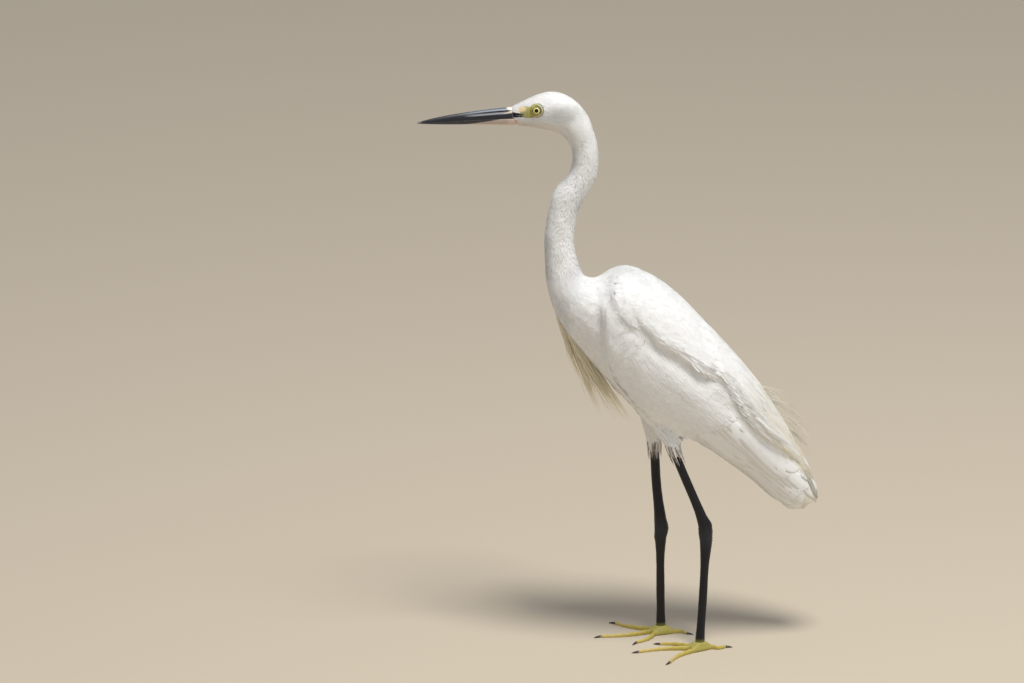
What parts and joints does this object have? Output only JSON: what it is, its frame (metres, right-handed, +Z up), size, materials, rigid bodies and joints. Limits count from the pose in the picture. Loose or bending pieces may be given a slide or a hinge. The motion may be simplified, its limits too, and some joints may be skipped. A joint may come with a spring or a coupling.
{
  "type": "little egret model",
  "caption": "Still, life-size model of a standing white heron (little egret) with slender bill, curved neck, folded wings, breast and back plumes, black legs and yellow feet.",
  "frame": {"origin": "middle of the bird's bounding box, at floor level under the feet", "axes": "+Z up; the bird faces -X; its left side is towards -Y"},
  "size_m": [0.3516, 0.1204, 0.5069],
  "materials": {
    "plumage": "matte white feathers",
    "plume": "matte cream feathers",
    "bill": "satin black horn",
    "bill_base": "satin dark horn",
    "eye": "polished",
    "leg": "scaly, nearly black",
    "toe": "scaly, yellow-green",
    "claw": "dark horn"
  },
  "bodies": {
    "root": {"bill_lower": "bill_base", "bill_upper": "bill", "breast_plumes": "plume", "cape": "plume", "claw_hind_left": "claw", "claw_hind_right": "claw", "claw_inner_left": "claw", "claw_inner_right": "claw", "claw_middle_left": "claw", "claw_middle_right": "claw", "claw_outer_left": "claw", "claw_outer_right": "claw", "eye_left": "eye", "eye_right": "eye", "foot_left": "toe", "foot_right": "toe", "head": "plumage", "hock_left": "leg", "hock_right": "leg", "neck_lower": "plumage", "neck_middle": "plumage", "neck_upper": "plumage", "shank_left": "leg", "shank_right": "leg", "tail": "plumage", "tarsus_left": "leg", "tarsus_right": "leg", "thigh_left": "plumage", "thigh_right": "plumage", "toe_hind_left": "toe", "toe_hind_right": "toe", "toe_inner_left": "toe", "toe_inner_right": "toe", "toe_middle_left": "toe", "toe_middle_right": "toe", "toe_outer_left": "toe", "toe_outer_right": "toe", "trunk": "plumage", "wing_left": "plumage", "wing_right": "plumage"}
  },
  "joints": []
}
